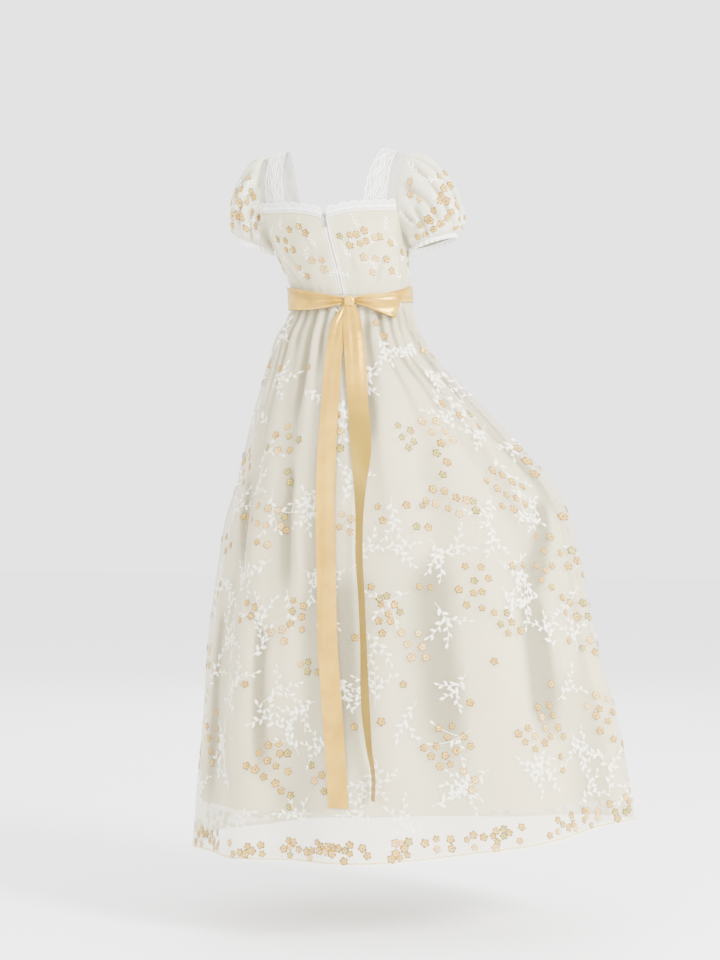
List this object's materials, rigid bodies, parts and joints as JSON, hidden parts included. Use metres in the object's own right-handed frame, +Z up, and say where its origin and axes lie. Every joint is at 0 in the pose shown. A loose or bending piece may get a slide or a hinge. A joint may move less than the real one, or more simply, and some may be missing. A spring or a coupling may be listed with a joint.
{
  "type": "regency gown",
  "caption": "Ankle-length high-waisted gown of embroidered net over a lining, with puff sleeves, lace shoulders, a back zip and a satin sash tied in a bow.",
  "frame": {"origin": "between the shoulders, at the height of the net yokes that the wearer holds the gown up by", "axes": "+Z up, the front faces -Y, the wearer's left is +X"},
  "size_m": [0.8539, 0.5637, 1.3611],
  "materials": {
    "embroidered_net": "fine ivory net with gold and cream embroidery, backed by lining",
    "sheer_net": "bare sheer net",
    "lining": "smooth pale lining",
    "lace": "white galloon lace",
    "gold_satin": "satin ribbon",
    "zip": "concealed zip",
    "pull_tab": "grey painted metal"
  },
  "bodies": {
    "gown": {"bodice_front": "embroidered_net", "bodice_back_left": "embroidered_net", "bodice_back_right": "embroidered_net", "sleeve_left": "embroidered_net", "sleeve_right": "embroidered_net", "cuff_left": "embroidered_net", "cuff_right": "embroidered_net", "skirt_front": "embroidered_net", "skirt_back_left": "embroidered_net", "skirt_back_right": "embroidered_net", "yoke_left": "sheer_net", "yoke_right": "sheer_net", "lining_front": "lining", "lining_back_left": "lining", "lining_back_right": "lining", "lace_strap_left": "lace", "lace_strap_right": "lace", "lace_neck_front": "lace", "lace_neck_back_left": "lace", "lace_neck_back_right": "lace", "sash_band": "gold_satin", "bow_loop_left": "gold_satin", "bow_loop_right": "gold_satin", "bow_knot": "gold_satin", "tail_left": "gold_satin", "tail_right": "gold_satin", "zip_chain": "zip", "zip_slider": "zip"},
    "zip_tab": {"zip_pull": "pull_tab"}
  },
  "joints": [
    {"name": "pull_hinge", "type": "hinge", "parent": "gown", "child": "zip_tab", "pos_m": [0.00133, 0.1087, -0.13625], "axis": [0.9862, 0.0047, -0.1653], "range_deg": [0, 150]}
  ]
}
